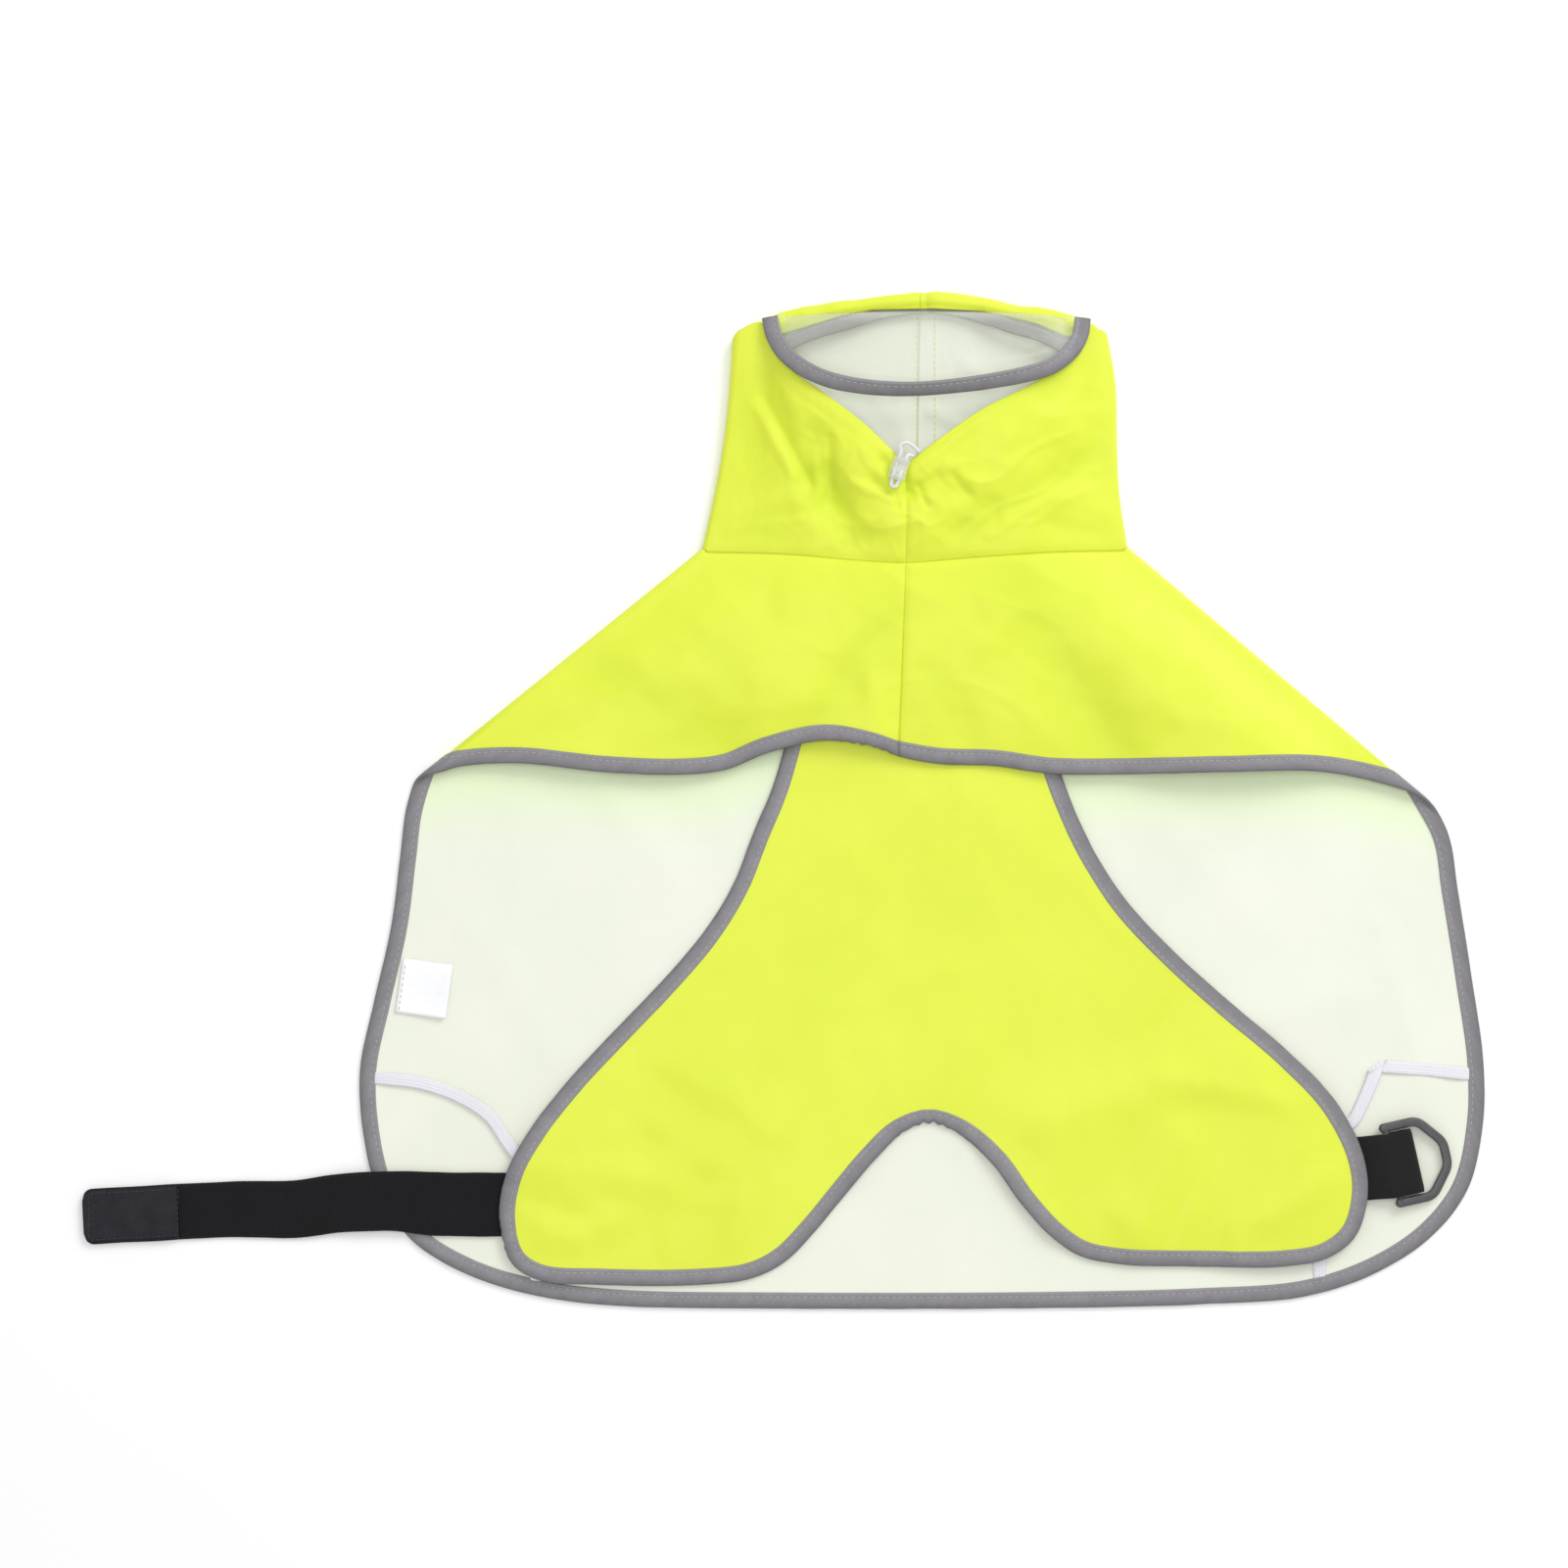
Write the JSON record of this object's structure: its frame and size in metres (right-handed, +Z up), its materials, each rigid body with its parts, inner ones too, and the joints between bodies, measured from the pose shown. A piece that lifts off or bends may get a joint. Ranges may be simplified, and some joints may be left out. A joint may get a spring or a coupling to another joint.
{
  "type": "dog raincoat",
  "caption": "Hooded dog raincoat laid out on its back: cape with folded-over fronts, hood with clear peak, belly flap with elastic strap and ring.",
  "frame": {"origin": "point of the back's underside on the coat's centre line, on the surface that the coat lies on", "axes": "+X across the coat towards the ring, +Y from the tail hem to the hood, +Z up from the surface"},
  "size_m": [0.6577, 0.4778, 0.0273],
  "materials": {
    "shell": "coated cloth with a soft sheen, lining side pale",
    "binding": "grey woven tape",
    "clear_pvc": "clear sheet",
    "black_webbing": "ribbed black webbing",
    "hook_tape": "black hook tape",
    "grey_plastic": "satin",
    "white_elastic": "woven elastic",
    "label": "smooth woven label, bare",
    "clear_plastic": "clear moulded"
  },
  "bodies": {
    "coat": {"cape": "shell", "cape_binding": "binding", "hood_left": "shell", "hood_right": "shell", "face_tape": "binding", "peak": "clear_pvc", "peak_binding": "binding", "belly_flap": "shell", "belly_flap_binding": "binding", "leash_flap": "shell", "leash_flap_binding": "binding", "belly_strap": "black_webbing", "hook_tab": "hook_tape", "ring_webbing": "black_webbing", "leg_elastic_left": "white_elastic", "leg_elastic_right": "white_elastic", "care_label": "label", "cord_lock": "clear_plastic", "drawcord": "white_elastic"},
    "ring": {"ring": "grey_plastic"}
  },
  "joints": [
    {"name": "ring_swing", "type": "hinge", "parent": "coat", "child": "ring", "pos_m": [0.2205, -0.1705, 0.0049], "axis": [0.2164, -0.9763, 0], "range_deg": [0, 150]}
  ]
}
